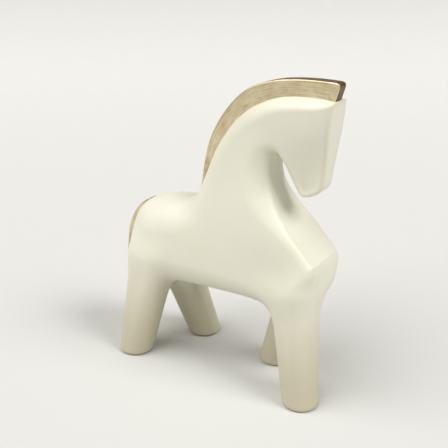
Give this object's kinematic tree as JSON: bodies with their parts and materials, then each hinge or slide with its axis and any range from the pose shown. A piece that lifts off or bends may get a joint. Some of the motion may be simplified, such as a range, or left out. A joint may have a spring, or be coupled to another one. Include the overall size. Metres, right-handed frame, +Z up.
{
  "type": "horse figurine",
  "caption": "Stylised standing horse figurine in cream glazed stoneware, with a gilded mane and tail, that stands on its felt-padded feet.",
  "frame": {"origin": "middle of the stand at table level: the bottom centre of the bounding box", "axes": "+X where the horse looks, +Y its left side, +Z up"},
  "size_m": [0.1798, 0.0792, 0.2208],
  "materials": {
    "glaze": "satin cream glaze on stoneware, opaque",
    "gilt": "brushed gold leaf, slightly worn",
    "felt": "pressed wool felt"
  },
  "bodies": {
    "root": {"body_casting": "glaze", "front_right_leg": "glaze", "front_left_leg": "glaze", "rear_right_leg": "glaze", "rear_left_leg": "glaze", "mane": "gilt", "tail": "gilt", "front_right_pad": "felt", "front_left_pad": "felt", "rear_right_pad": "felt", "rear_left_pad": "felt"}
  },
  "joints": []
}
